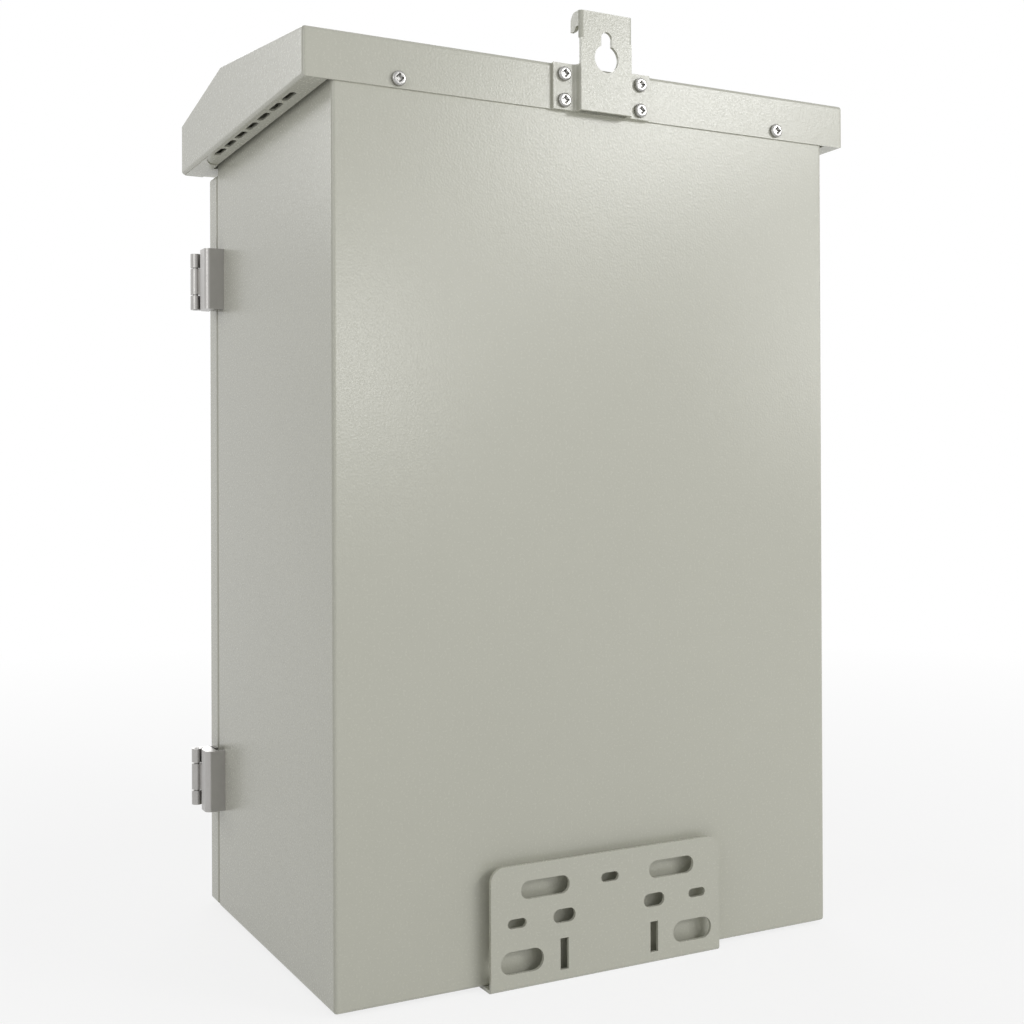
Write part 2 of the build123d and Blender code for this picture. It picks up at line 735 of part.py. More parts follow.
def make_hinge_body_leaf(z):
    """Cast block on the body with a pocket along the wall and the middle knuckle."""
    reach = (z - hinge_height / 2, z + hinge_height / 2)
    shoulder = (hinge_block_out, -hinge_block_shoulder)
    nose = (hinge_block_out - hinge_block_taper, hinge_block_front)
    outline = [
        (0, -hinge_foot_back),
        (hinge_block_out, -hinge_foot_back),
        shoulder,
        nose,
        (hinge_pocket, hinge_block_front),
        (hinge_pocket, hinge_foot - hinge_foot_back),
        (0, hinge_foot - hinge_foot_back),
    ]
    leaf = prism_z([hinge_point(*p) for p in outline], reach)
    leaf = round_edges(leaf, Axis.Z, [hinge_point(hinge_block_out, -hinge_foot_back), hinge_point(*shoulder)],
                       hinge_corner)
    leaf = round_edges(leaf, Axis.Z, [hinge_point(*nose)], hinge_corner / 3)
    middle = (z - knuckle_middle / 2, z + knuckle_middle / 2)
    web = [
        (hinge_block_out - hinge_block_taper * 0.75, 1.0),
        (hinge_pin_out + knuckle_radius * math.cos(math.radians(-105)),
         hinge_pin_ahead + knuckle_radius * math.sin(math.radians(-105))),
        (hinge_pin_out + knuckle_radius * math.cos(math.radians(205)),
         hinge_pin_ahead + knuckle_radius * math.sin(math.radians(205))),
        (hinge_pocket + 2.3, hinge_block_front),
        (hinge_pocket + 2.3, -1.0),
    ]
    leaf += prism_z([hinge_point(*p) for p in web], middle)
    leaf += round_z(pin_x, pin_y, middle, knuckle_radius)
    leaf -= round_z(pin_x, pin_y, middle, hinge_pin_radius)
    screw_y = rim_y + hinge_screw_back
    for side in (-1, 1):
        screw_z = z + side * hinge_screw_spread / 2
        leaf += round_x((half_width, half_width + hinge_pocket + 1), screw_y, screw_z, hinge_boss_radius)
        leaf -= round_x((half_width, half_width + hinge_block_out - 3), screw_y, screw_z,
                        m5_pan[0] + thread_gap)
    return leaf


def make_hinge_door_leaf(z):
    """Bent plate on the door's side with the two end knuckles."""
    reach = (z - knuckle_stack / 2, z + knuckle_stack / 2)
    strap_ahead = hinge_pin_ahead + knuckle_radius
    strap_back = strap_ahead - hinge_leaf
    outline = [
        (0, hinge_pin_ahead - hinge_leaf_back),
        (0, strap_ahead),
        (hinge_pin_out, strap_ahead),
        (hinge_pin_out, strap_back),
        (hinge_leaf, strap_back),
        (hinge_leaf, hinge_pin_ahead - hinge_leaf_back),
    ]
    leaf = prism_z([hinge_point(*p) for p in outline], reach)
    leaf = round_edges(leaf, Axis.Z, [hinge_point(0, strap_ahead)], hinge_leaf / 2)
    leaf += round_z(pin_x, pin_y, reach, knuckle_radius)
    cut_half = knuckle_middle / 2 + knuckle_gap
    cut_radius = knuckle_radius + 2 * soft_gap
    leaf -= block((pin_x - cut_radius, pin_x + cut_radius), (pin_y - cut_radius, pin_y + cut_radius),
                  (z - cut_half, z + cut_half))
    leaf -= round_z(pin_x, pin_y, reach, hinge_pin_radius + running_gap)
    for side in (-1, 1):
        leaf -= round_x((half_width, half_width + hinge_leaf), rim_y - door_screw_ahead,
                        z + side * hinge_screw_spread / 2, m4_pan[0] + thread_gap)
    return leaf


def make_hinge_pin(z):
    """Plain pin, a little short of the knuckles at both ends."""
    half = knuckle_stack / 2 - hinge_pin_recess
    return round_z(pin_x, pin_y, (z - half, z + half), hinge_pin_radius)


def make_hinge_body_screws():
    """Screws from inside the cabinet into the body leaves."""
    length = sheet + hinge_block_out - 4
    return [facing_left(inner_half, rim_y + hinge_screw_back, z) * pan_screw(m5_pan, length)
            for z in hinge_screw_z]


def make_hinge_door_screws():
    """Screws from inside the door's side flange into the door leaves."""
    return [facing_left(inner_half, rim_y - door_screw_ahead, z) * pan_screw(m4_pan, sheet + hinge_leaf)
            for z in hinge_screw_z]


# Door and latch
def make_door():
    """Folded pan with hemmed edges."""
    outer = block((-half_width, half_width), (door_front_y, door_back_y), (door_low_z, door_top_z))
    outer = fillet(outer.edges(), bend_radius)
    hollow = block((-inner_half, inner_half), (door_inner_y, door_back_y - sheet),
                   (door_low_z + sheet, door_top_z - sheet))
    hollow = fillet(hollow.edges(), bend_radius - sheet)
    mouth = block((-half_width + door_hem, half_width - door_hem), (door_back_y - sheet, door_back_y),
                  (door_low_z + door_hem, door_top_z - door_hem))
    door = outer - hollow - mouth
    door -= round_y(latch_x, (door_front_y, door_inner_y), latch_z, latch_tube_radius + hole_gap)
    for z in hinge_screw_z:
        door -= round_x((inner_half, half_width), rim_y - door_screw_ahead, z, m4_pan[0] + hole_gap)
    return door


def make_door_gasket():
    """Foam ring on the door that meets the raised lip of the rim."""
    grow = (gasket_width + sheet) / 2
    shrink = gasket_width - grow
    y = (door_inner_y, rim_y - rim_lip - soft_gap)
    ring = block((-opening_half - grow, opening_half + grow), y, (opening_low_z - grow, opening_high_z + grow))
    ring -= block((-opening_half + shrink, opening_half - shrink), y,
                  (opening_low_z + shrink, opening_high_z - shrink))
    return ring


def latch_ring(radius, bore, y):
    """A plain ring around the latch axis."""
    return round_y(latch_x, y, latch_z, radius) - round_y(latch_x, y, latch_z, bore)


def make_latch_sleeve():
    """Flanged sleeve through the door in which the spindle turns."""
    front = door_front_y - latch_gasket - latch_flange
    flange = round_y(latch_x, (front, front + latch_flange), latch_z, latch_flange_radius)
    flange = fillet(flange.edges().group_by(Axis.Y)[0], latch_flange / 3)
    end = cam_front_y - cam_rod_gap
    sleeve = flange + round_y(latch_x, (front + latch_flange / 2, end), latch_z, latch_tube_radius)
    return sleeve - round_y(latch_x, (front, end), latch_z, spindle_radius + latch_running_gap)


def make_latch_nut():
    """Hexagon nut that clamps the sleeve from inside the door."""
    place = Pos(latch_x, door_inner_y, latch_z) * Rot(-90, 0, 0)
    return place * nut_z(latch_nut_radius, latch_tube_radius + thread_gap, (0, latch_nut_height))


def make_latch_handle():
    """Hub, grip and spindle in one casting, with a pocket for the lock barrel."""
    back = door_front_y - latch_gasket - latch_flange - hub_gap
    front = back - hub_length
    hub = round_y(latch_x, (front, back), latch_z, hub_radius)
    hub = fillet(hub.edges().group_by(Axis.Y)[0], 2)
    grip = block((latch_x, latch_x + grip_length), (front, front + grip_height),
                 (latch_z - grip_width / 2, latch_z + grip_width / 2))
    tip = latch_x + grip_length
    grip = round_edges(grip, Axis.Y, [(tip, latch_z - grip_width / 2), (tip, latch_z + grip_width / 2)],
                       grip_width * 0.45)
    grip = fillet(grip.edges().group_by(Axis.Y)[0], 2)
    handle = hub + grip
    handle += round_y(latch_x, (back - 1, cam_front_y), latch_z, spindle_radius)
    half = spindle_square / 2
    handle += block((latch_x - half, latch_x + half), (cam_front_y - 1, cam_back_y),
                    (latch_z - half, latch_z + half))
    handle -= round_y(latch_x, (front, front + barrel_depth), latch_z, barrel_radius + latch_running_gap)
    handle -= round_y(latch_x, (cam_back_y - 12, cam_back_y), latch_z, m6_cap[0] + thread_gap)
    return handle


def make_lock_barrel():
    """Key barrel in the middle of the handle."""
    front = door_front_y - handle_reach
    barrel = round_y(latch_x, (front, front + barrel_proud + barrel_depth - 0.5), latch_z, barrel_radius)
    barrel = fillet(barrel.edges().group_by(Axis.Y)[0], 1)
    return barrel - block((latch_x - keyway_width / 2, latch_x + keyway_width / 2), (front, front + 8),
                          (latch_z - keyway_length / 2, latch_z + keyway_length / 2))


def make_latch_cam():
    """Cam plate on the spindle with one drive pin for each rod, shown with the rods drawn in."""
    y = (cam_front_y, cam_back_y)
    length = 2 * cam_throw + cam_width * 0.8
    plate = extrude(SlotOverall(length, cam_width), cam_thickness / 2, both=True)
    place = Pos(latch_x, (cam_front_y + cam_back_y) / 2, latch_z) * Rot(90, 0, 0) * Rot(0, 0, 45)
    cam = place * plate
    for side in (-1, 1):
        cam += round_y(latch_x + side * pin_side, (cam_front_y + cam_thickness / 2, rod_back_y + 1),
                       latch_z + side * pin_side, cam_pin_radius)
    half = spindle_square / 2 + thread_gap
    return cam - block((latch_x - half, latch_x + half), y, (latch_z - half, latch_z + half))


def make_cam_screw():
    """Screw that holds the cam on the spindle."""
    shank, head, height = m6_cap
    screw = round_z(0, 0, (-10, 0), shank) + round_z(0, 0, (0, height), head)
    screw -= Pos(0, 0, height / 2) * extrude(RegularPolygon(shank * 0.8, 6), height)
    return facing_back(latch_x, cam_back_y, latch_z) * screw


def make_rod(side):
    """Flat locking rod, drawn in: side is 1 for the upper rod and -1 for the lower one."""
    x = latch_x - side * rod_offset
    drive_z = latch_z - side * pin_side
    end_z = drive_z - side * (rod_slot_height / 2 + rod_end_margin)
    tip_z = {1: opening_high_z - rod_tip_gap, -1: opening_low_z + rod_tip_gap}[side]
    half = rod_width / 2
    taper_z = tip_z - side * rod_tip_taper
    outline = [(x - half, end_z), (x + half, end_z), (x + half, taper_z), (x + half - rod_tip_taper, tip_z),
               (x - half + rod_tip_taper, tip_z), (x - half, taper_z)]
    rod = prism_y(outline, (rod_front_y, rod_back_y))
    length = rod_slot_out - rod_slot_in
    return rod - slot_y(x, drive_z, length, rod_slot_height, (rod_front_y, rod_back_y))


def guide_places():
    """The middle of each rod guide as (x, z)."""
    upper_x = latch_x - rod_offset
    lower_x = latch_x + rod_offset
    return [(upper_x, latch_z + guide_near), (upper_x, opening_high_z - guide_far),
            (lower_x, latch_z - guide_near), (lower_x, opening_low_z + guide_far)]


guide_stud_spread = guide_length + guide_ear


def make_rod_guides():
    """Moulded guides on the door that the locking rods slide in."""
    guides = []
    half = rod_width / 2 + guide_play + guide_wall
    back = rod_back_y + guide_play + guide_wall
    for x, z in guide_places():
        guide = block((x - half, x + half), (door_inner_y, back), (z - guide_length / 2, z + guide_length / 2))
        ear_half = guide_length / 2 + guide_ear
        guide += block((x - half, x + half), (door_inner_y, door_inner_y + guide_base),
                       (z - ear_half, z + ear_half))
        bay = rod_front_y - guide_play - guide_wall
        guide -= block((x - half + guide_wall, x + half - guide_wall), (door_inner_y + guide_base, bay),
                       (z - guide_length / 2, z + guide_length / 2))
        run = rod_width / 2 + guide_play
        guide -= block((x - run, x + run), (rod_front_y - guide_play, rod_back_y + guide_play),
                       (z - guide_length / 2, z + guide_length / 2))
        for side in (-1, 1):
            guide -= round_y(x, (door_inner_y, door_inner_y + guide_base), z + side * guide_stud_spread / 2,
                             m4_pan[0] + thread_gap)
        guides.append(guide)
    return guides


def make_guide_studs():
    """Weld studs on the door's inner face for the rod guides."""
    return [round_y(x, (door_inner_y, door_inner_y + guide_base + 5), z + side * guide_stud_spread / 2, m4_pan[0])
            for x, z in guide_places() for side in (-1, 1)]


def make_guide_nuts():
    """Hexagon nuts on the rod guides' ears."""
    nut = nut_z(m4_pan[0] * 1.95, m4_pan[0] + thread_gap, (0, 3.2))
    return [facing_back(x, door_inner_y + guide_base, z + side * guide_stud_spread / 2) * nut
            for x, z in guide_places() for side in (-1, 1)]


def make_door_earth_stud():
    """Earth stud on the door's inner face, near the lower hinge."""
    x = half_width - door_earth_in
    return round_y(x, (door_inner_y, door_inner_y + 18), floor_z + earth_up, m6_radius)


def make_door_earth_nut():
    """Nut and washer on the door's earth stud."""
    place = facing_back(half_width - door_earth_in, door_inner_y, floor_z + earth_up)
    bore = m6_radius + thread_gap
    washer = round_z(0, 0, (3.0, 4.6), m6_radius * 2) - round_z(0, 0, (3.0, 4.6), bore)
    return [place * nut_z(m6_radius * 1.9, bore, (0, 3.0)), place * washer,
            place * nut_z(m6_radius * 1.9, bore, (4.6, 9.6))]


# Every sub-part under its own name
cabinet_shell, front_frame = make_body_sheets()
nodes = {
    "cabinet_shell": cabinet_shell,
    "front_frame": front_frame,
    "rain_hood": make_rain_hood(),
    "hood_screws": make_hood_screws(),
    "hood_clinch_nuts": make_clinch_nuts(hood_screw_points),
    "hanger_plate": make_hanger_plate(),
    "hanger_screws": make_hanger_screws(),
    "hanger_clinch_nuts": make_clinch_nuts(hanger_screw_points),
    "pole_bracket": make_pole_bracket(),
    "pole_bracket_screws": make_bracket_screws(),
    "pole_bracket_nuts": make_bracket_nuts(),
    "mounting_plate": make_mounting_plate(),
    "mounting_studs": make_mounting_studs(),
    "mounting_spacers": make_mounting_spacers(),
    "mounting_nuts": make_mounting_nuts(),
    "gland_plate": make_gland_plate(),
    "gland_gasket": make_gland_gasket(),
    "gland_studs": make_gland_studs(),
    "gland_nuts": make_gland_nuts(),
    "blanking_plugs": make_blanking_plugs(),
    "vent_screen_left": make_vent_screen(-1),
    "vent_screen_right": make_vent_screen(1),
    "vent_screen_rivets": make_screen_rivets(),
    "earth_stud": make_earth_stud(),
    "earth_nuts": make_earth_nut(),
    "hinge_lower_body_leaf": make_hinge_body_leaf(hinge_z[0]),
    "hinge_upper_body_leaf": make_hinge_body_leaf(hinge_z[1]),
    "hinge_lower_pin": make_hinge_pin(hinge_z[0]),
    "hinge_upper_pin": make_hinge_pin(hinge_z[1]),
    "hinge_body_screws": make_hinge_body_screws(),
    "door": make_door(),
    "door_gasket": make_door_gasket(),
    "hinge_lower_door_leaf": make_hinge_door_leaf(hinge_z[0]),
    "hinge_upper_door_leaf": make_hinge_door_leaf(hinge_z[1]),
    "hinge_door_screws": make_hinge_door_screws(),
    "latch_sleeve": make_latch_sleeve(),
    "latch_gasket": latch_ring(latch_flange_radius - 1, latch_tube_radius + hole_gap,
                               (door_front_y - latch_gasket, door_front_y)),
    "latch_nut": make_latch_nut(),
    "rod_guides": make_rod_guides(),
    "rod_guide_studs": make_guide_studs(),
    "rod_guide_nuts": make_guide_nuts(),
    "door_earth_stud": make_door_earth_stud(),
    "door_earth_nuts": make_door_earth_nut(),
    "latch_handle": make_latch_handle(),
    "latch_cam": make_latch_cam(),
    "latch_cam_screw": make_cam_screw(),
    "lock_barrel": make_lock_barrel(),
    "lock_rod_upper": make_rod(1),
    "lock_rod_lower": make_rod(-1),
}

os.makedirs("parts", exist_ok=True)
for name, shape in nodes.items():
    group = Compound(children=shape) if isinstance(shape, list) else shape
    export_step(group, f"parts/{name}.step")
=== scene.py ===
"""Looks of the roadside utility cabinet: its finishes and its studio."""

import math

import bpy
from bpy.props import FloatProperty, FloatVectorProperty, PointerProperty
from mathutils import Matrix, Quaternion, Vector

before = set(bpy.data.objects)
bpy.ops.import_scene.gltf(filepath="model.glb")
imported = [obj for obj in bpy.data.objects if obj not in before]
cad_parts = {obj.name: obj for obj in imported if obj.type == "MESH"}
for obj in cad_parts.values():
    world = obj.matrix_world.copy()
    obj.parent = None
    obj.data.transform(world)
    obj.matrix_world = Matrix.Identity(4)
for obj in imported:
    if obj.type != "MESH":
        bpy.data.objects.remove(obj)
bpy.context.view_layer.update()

bl_info = {
    "name": "Roadside Utility Cabinet",
    "version": (1, 0, 0),
    "blender": (4, 5, 0),
    "location": "View3D > Sidebar > Cabinet",
    "description": "Finishes and studio of a pole-mounted utility cabinet",
    "category": "Object",
}

PAINTED = (
    "cabinet_shell", "front_frame", "rain_hood", "hanger_plate", "pole_bracket", "door", "gland_plate",
)
STAINLESS = (
    "hood_screws", "hanger_screws", "pole_bracket_screws", "hinge_body_screws", "hinge_door_screws",
    "vent_screen_left", "vent_screen_right", "vent_screen_rivets",
)
ZINC_PLATED = (
    "hood_clinch_nuts", "hanger_clinch_nuts", "pole_bracket_nuts", "mounting_plate", "mounting_studs",
    "mounting_spacers", "mounting_nuts", "gland_studs", "gland_nuts", "rod_guide_studs", "rod_guide_nuts",
    "lock_rod_upper", "lock_rod_lower", "latch_cam", "latch_cam_screw", "latch_nut", "door_earth_stud",
    "door_earth_nuts", "earth_stud", "earth_nuts",
)
HINGE_METAL = (
    "hinge_lower_body_leaf", "hinge_upper_body_leaf", "hinge_lower_door_leaf", "hinge_upper_door_leaf",
    "hinge_lower_pin", "hinge_upper_pin",
)
CAST_CHROME = ("latch_handle", "latch_sleeve", "lock_barrel")

# Camera fitted to the cabinet's edges, in metres, degrees, millimetres and sensor widths
CAMERA_PLACE = (0.51634, 0.99091, 0.34838)
CAMERA_YAW = 27.922
CAMERA_PITCH = 0.231
CAMERA_ROLL = -0.216
CAMERA_SENSOR = 36.0
CAMERA_SHIFT = -0.0446

# Glow of the floor: its share near the cabinet, and the distances where it starts and stops to rise
FLOOR_GLOW = 0.80
FLOOR_FADE = (0.4, 1.8)

# Power of the wide low lamp against that of the small one
RIGHT_LAMP_RATIO = 1.8


class CabinetPaint(bpy.types.PropertyGroup):
    """Powder coat of the sheet metal."""

    color: FloatVectorProperty(
        name="Colour", description="Colour of the powder coat", subtype="COLOR", size=3, min=0, max=1,
        default=(0.545, 0.545, 0.468))
    roughness: FloatProperty(
        name="Roughness", description="Roughness of the powder coat", subtype="FACTOR", min=0, max=1,
        default=0.24)
    peel_size: FloatProperty(
        name="Peel Size", description="Distance between two bumps of the orange peel texture",
        unit="LENGTH", min=0.0005, default=0.0016)
    peel_depth: FloatProperty(
        name="Peel Depth", description="Height of the orange peel bumps", unit="LENGTH", min=0,
        default=0.0001)


class CabinetMetal(bpy.types.PropertyGroup):
    """Bare and plated metals."""

    stainless: FloatVectorProperty(
        name="Stainless", description="Colour of the stainless screws", subtype="COLOR", size=3, min=0,
        max=1, default=(0.48, 0.475, 0.46))
    zinc: FloatVectorProperty(
        name="Zinc", description="Colour of the zinc plating", subtype="COLOR", size=3, min=0, max=1,
        default=(0.50, 0.51, 0.52))
    hinge: FloatVectorProperty(
        name="Hinge", description="Colour of the satin hinge castings", subtype="COLOR", size=3, min=0,
        max=1, default=(0.45, 0.44, 0.425))
    chrome: FloatVectorProperty(
        name="Chrome", description="Colour of the satin chrome on the latch", subtype="COLOR", size=3,
        min=0, max=1, default=(0.60, 0.60, 0.61))


class CabinetStage(bpy.types.PropertyGroup):
    """Floor, lamps and camera."""

    floor: FloatVectorProperty(
        name="Floor", description="Colour of the floor", subtype="COLOR", size=3, min=0, max=1,
        default=(0.86, 0.86, 0.86))
    floor_size: FloatProperty(
        name="Floor Size", description="Side of the square floor", unit="LENGTH", min=2, default=30.0)
    key_power: FloatProperty(
        name="Key Light", description="Power of the softbox high behind the cabinet", min=0,
        default=13.0)
    strip_power: FloatProperty(
        name="Strip Light", description="Power of the slanted strip lamp behind the cabinet", min=0,
        default=3.0)
    spot_power: FloatProperty(
        name="Low Light", description="Power of the small lamps low behind the cabinet", min=0,
        default=3.0)
    hinge_power: FloatProperty(
        name="Hinge Light", description="Power of the lamp that shines along the hinge side", min=0,
        default=5.6)
    side_power: FloatProperty(
        name="Side Light", description="Power of the small lamp beside the hinges", min=0, default=1.1)
    front_power: FloatProperty(
        name="Front Light", description="Power of the lamp before the door", min=0, default=16.0)
    ambient: FloatProperty(
        name="Ambient", description="Strength of the room's light", min=0, default=0.42)
    lens: FloatProperty(
        name="Focal Length", description="Focal length of the camera in millimetres", min=10, default=49.16)


# Shader nodes

def new_group(name, inputs, outputs):
    """Start a shader node group with named sockets."""
    group = bpy.data.node_groups.new(name, "ShaderNodeTree")
    for label, kind, value in inputs:
        socket = group.interface.new_socket(name=label, in_out="INPUT", socket_type=kind)
        socket.default_value = value
    for label, kind in outputs:
        group.interface.new_socket(name=label, in_out="OUTPUT", socket_type=kind)
    return group, group.nodes.new("NodeGroupInput"), group.nodes.new("NodeGroupOutput")


def math_node(tree, operation, first, second):
    """A math node on two sockets or numbers."""
    node = tree.nodes.new("ShaderNodeMath")
    node.operation = operation
    for slot, value in zip(node.inputs, (first, second)):
        if isinstance(value, (int, float)):
            slot.default_value = value
        else:
            tree.links.new(value, slot)
    return node.outputs[0]


def noise_node(tree, vector, scale, detail, roughness=0.5):
    """A noise texture read at a vector; scale may be a socket."""
    node = tree.nodes.new("ShaderNodeTexNoise")
    node.inputs["Detail"].default_value = detail
    node.inputs["Roughness"].default_value = roughness
    tree.links.new(vector, node.inputs["Vector"])
    if isinstance(scale, (int, float)):
        node.inputs["Scale"].default_value = scale
    else:
        tree.links.new(scale, node.inputs["Scale"])
    return node.outputs[0]


def range_node(tree, value, low, high, to_low, to_high):
    """Map a socket's value from one range of numbers to another."""
    node = tree.nodes.new("ShaderNodeMapRange")
    for name, number in (("From Min", low), ("From Max", high), ("To Min", to_low), ("To Max", to_high)):
        node.inputs[name].default_value = number
    tree.links.new(value, node.inputs["Value"])
    return node.outputs[0]


def mix_colors(tree, factor, first, second):
    """Mix two colours given as sockets or values."""
    node = tree.nodes.new("ShaderNodeMix")
    node.data_type = "RGBA"
    for slot, value in ((node.inputs["Factor"], factor), (node.inputs[6], first), (node.inputs[7], second)):
        if isinstance(value, (int, float)):
            slot.default_value = value
        elif isinstance(value, tuple):
            slot.default_value = (*value[:3], 1.0)
        else:
            tree.links.new(value, slot)
    return node.outputs[2]


def make_powder_group():
    """Orange peel of a powder coat: soft bumps, a slight colour drift and duller hollows."""
    group, given, result = new_group(
        "powder_coat_texture",
        [("Color", "NodeSocketColor", (0.5, 0.5, 0.5, 1)), ("Roughness", "NodeSocketFloat", 0.4),
         ("Peel Size", "NodeSocketFloat", 0.002)],
        [("Color", "NodeSocketColor"), ("Roughness", "NodeSocketFloat"), ("Height", "NodeSocketFloat")])
    place = group.nodes.new("ShaderNodeTexCoord").outputs["Object"]
    scale = math_node(group, "DIVIDE", 1.0, given.outputs["Peel Size"])
    peel = noise_node(group, place, scale, 1.5, 0.45)
    waves = noise_node(group, place, math_node(group, "MULTIPLY", scale, 0.3), 1.0)
    height = math_node(group, "ADD", math_node(group, "MULTIPLY", peel, 0.8),
                       math_node(group, "MULTIPLY", waves, 0.35))
    drift = range_node(group, noise_node(group, place, 5.0, 2.0), 0.3, 0.7, 0.0, 1.0)
    darker = mix_colors(group, 0.06, given.outputs["Color"], (0.30, 0.30, 0.26))
    color = mix_colors(group, drift, given.outputs["Color"], darker)
    speck = range_node(group, peel, 0.35, 0.65, 0.04, -0.03)
    dull = math_node(group, "ADD", given.outputs["Roughness"], speck)
    group.links.new(color, result.inputs["Color"])
    group.links.new(dull, result.inputs["Roughness"])
    group.links.new(height, result.inputs["Height"])
    return group


def make_grain_group():
    """Fine grain of bare metal, rubber or moulded plastic, with cloudy patches."""
    group, given, result = new_group(
        "fine_grain",
        [("Color", "NodeSocketColor", (0.5, 0.5, 0.5, 1)),
         ("Patch Color", "NodeSocketColor", (0.4, 0.4, 0.4, 1)),
         ("Roughness", "NodeSocketFloat", 0.4), ("Spread", "NodeSocketFloat", 0.1),
         ("Grain Size", "NodeSocketFloat", 0.0004), ("Patch Size", "NodeSocketFloat", 0.01)],
        [("Color", "NodeSocketColor"), ("Roughness", "NodeSocketFloat"), ("Height", "NodeSocketFloat")])
    place = group.nodes.new("ShaderNodeTexCoord").outputs["Object"]
    grain = noise_node(group, place, math_node(group, "DIVIDE", 1.0, given.outputs["Grain Size"]), 2.0)
    patch = noise_node(group, place, math_node(group, "DIVIDE", 1.0, given.outputs["Patch Size"]), 3.0)
    mask = range_node(group, patch, 0.35, 0.65, 0.0, 1.0)
    color = mix_colors(group, mask, given.outputs["Color"], given.outputs["Patch Color"])
    swing = math_node(group, "MULTIPLY", math_node(group, "SUBTRACT", grain, 0.5), given.outputs["Spread"])
    cloud = math_node(group, "MULTIPLY", math_node(group, "SUBTRACT", patch, 0.5), given.outputs["Spread"])
    rough = math_node(group, "ADD", given.outputs["Roughness"], math_node(group, "ADD", swing, cloud))
    group.links.new(color, result.inputs["Color"])
    group.links.new(rough, result.inputs["Roughness"])
    group.links.new(grain, result.inputs["Height"])
    return group


def finish_material(name, group, values, metallic=0.0, bump=0.0):
    """A Principled material fed by one texture group."""
    material = bpy.data.materials.new(name)
    material.use_nodes = True
    tree = material.node_tree
    principled = tree.nodes["Principled BSDF"]
    principled.inputs["Metallic"].default_value = metallic
    texture = tree.nodes.new("ShaderNodeGroup")
    texture.node_tree = group
    for socket, value in values.items():
        texture.inputs[socket].default_value = (*value, 1.0) if "Color" in socket else value
    tree.links.new(texture.outputs["Color"], principled.inputs["Base Color"])
    tree.links.new(texture.outputs["Roughness"], principled.inputs["Roughness"])
    if bump:
        relief = tree.nodes.new("ShaderNodeBump")
        relief.inputs["Strength"].default_value = 1.0
        relief.inputs["Distance"].default_value = bump
        tree.links.new(texture.outputs["Height"], relief.inputs["Height"])
        tree.links.new(relief.outputs["Normal"], principled.inputs["Normal"])
    return material


def dress(names, material):
    """Give a material to CAD nodes."""
    for name in names:
        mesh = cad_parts[name].data
        mesh.materials.clear()
        mesh.materials.append(material)


def shared_group(name, maker):
    """One copy of a texture group."""
    return bpy.data.node_groups.get(name) or maker()


class CABINET_OT_coat_sheet_metal(bpy.types.Operator):
    """Powder coat the shell, hood, door, hanger, bracket and cable entry plate"""

    bl_idname = "cabinet.coat_sheet_metal"
    bl_label = "Coat Sheet Metal"

    def execute(self, context):
        paint = context.scene.cabinet_paint
        group = shared_group("powder_coat_texture", make_powder_group)
        values = {"Color": tuple(paint.color), "Roughness": paint.roughness, "Peel Size": paint.peel_size}
        coat = finish_material("powder_coat", group, values, bump=paint.peel_depth)
        dress(PAINTED, coat)
        return {"FINISHED"}


class CABINET_OT_finish_metal(bpy.types.Operator):
    """Finish the hinges, fasteners, latch and inside fittings in bare and plated metal"""

    bl_idname = "cabinet.finish_metal"
    bl_label = "Finish Metal"

    def execute(self, context):
        metal = context.scene.cabinet_metal
        group = shared_group("fine_grain", make_grain_group)

        def shade(color, share):
            return tuple(channel * share for channel in color)

        stainless = finish_material(
            "stainless_steel", group,
            {"Color": tuple(metal.stainless), "Patch Color": shade(metal.stainless, 0.72),
             "Roughness": 0.27, "Spread": 0.16, "Grain Size": 0.0005, "Patch Size": 0.0024},
            metallic=1.0, bump=0.00001)
        zinc = finish_material(
            "zinc_plating", group,
            {"Color": tuple(metal.zinc), "Patch Color": shade(metal.zinc, 0.82), "Roughness": 0.36,
             "Spread": 0.2, "Grain Size": 0.0008, "Patch Size": 0.018},
            metallic=1.0, bump=0.00001)
        hinge = finish_material(
            "satin_hinge_metal", group,
            {"Color": tuple(metal.hinge), "Patch Color": shade(metal.hinge, 0.95), "Roughness": 0.32,
             "Spread": 0.06, "Grain Size": 0.0004, "Patch Size": 0.008},
            metallic=0.9, bump=0.000006)
        chrome = finish_material(
            "satin_chrome", group,
            {"Color": tuple(metal.chrome), "Patch Color": shade(metal.chrome, 0.93), "Roughness": 0.22,
             "Spread": 0.08, "Grain Size": 0.0005, "Patch Size": 0.012},
            metallic=1.0, bump=0.000006)
        dress(STAINLESS, stainless)
        dress(ZINC_PLATED, zinc)
        dress(HINGE_METAL, hinge)
        dress(CAST_CHROME, chrome)
        return {"FINISHED"}


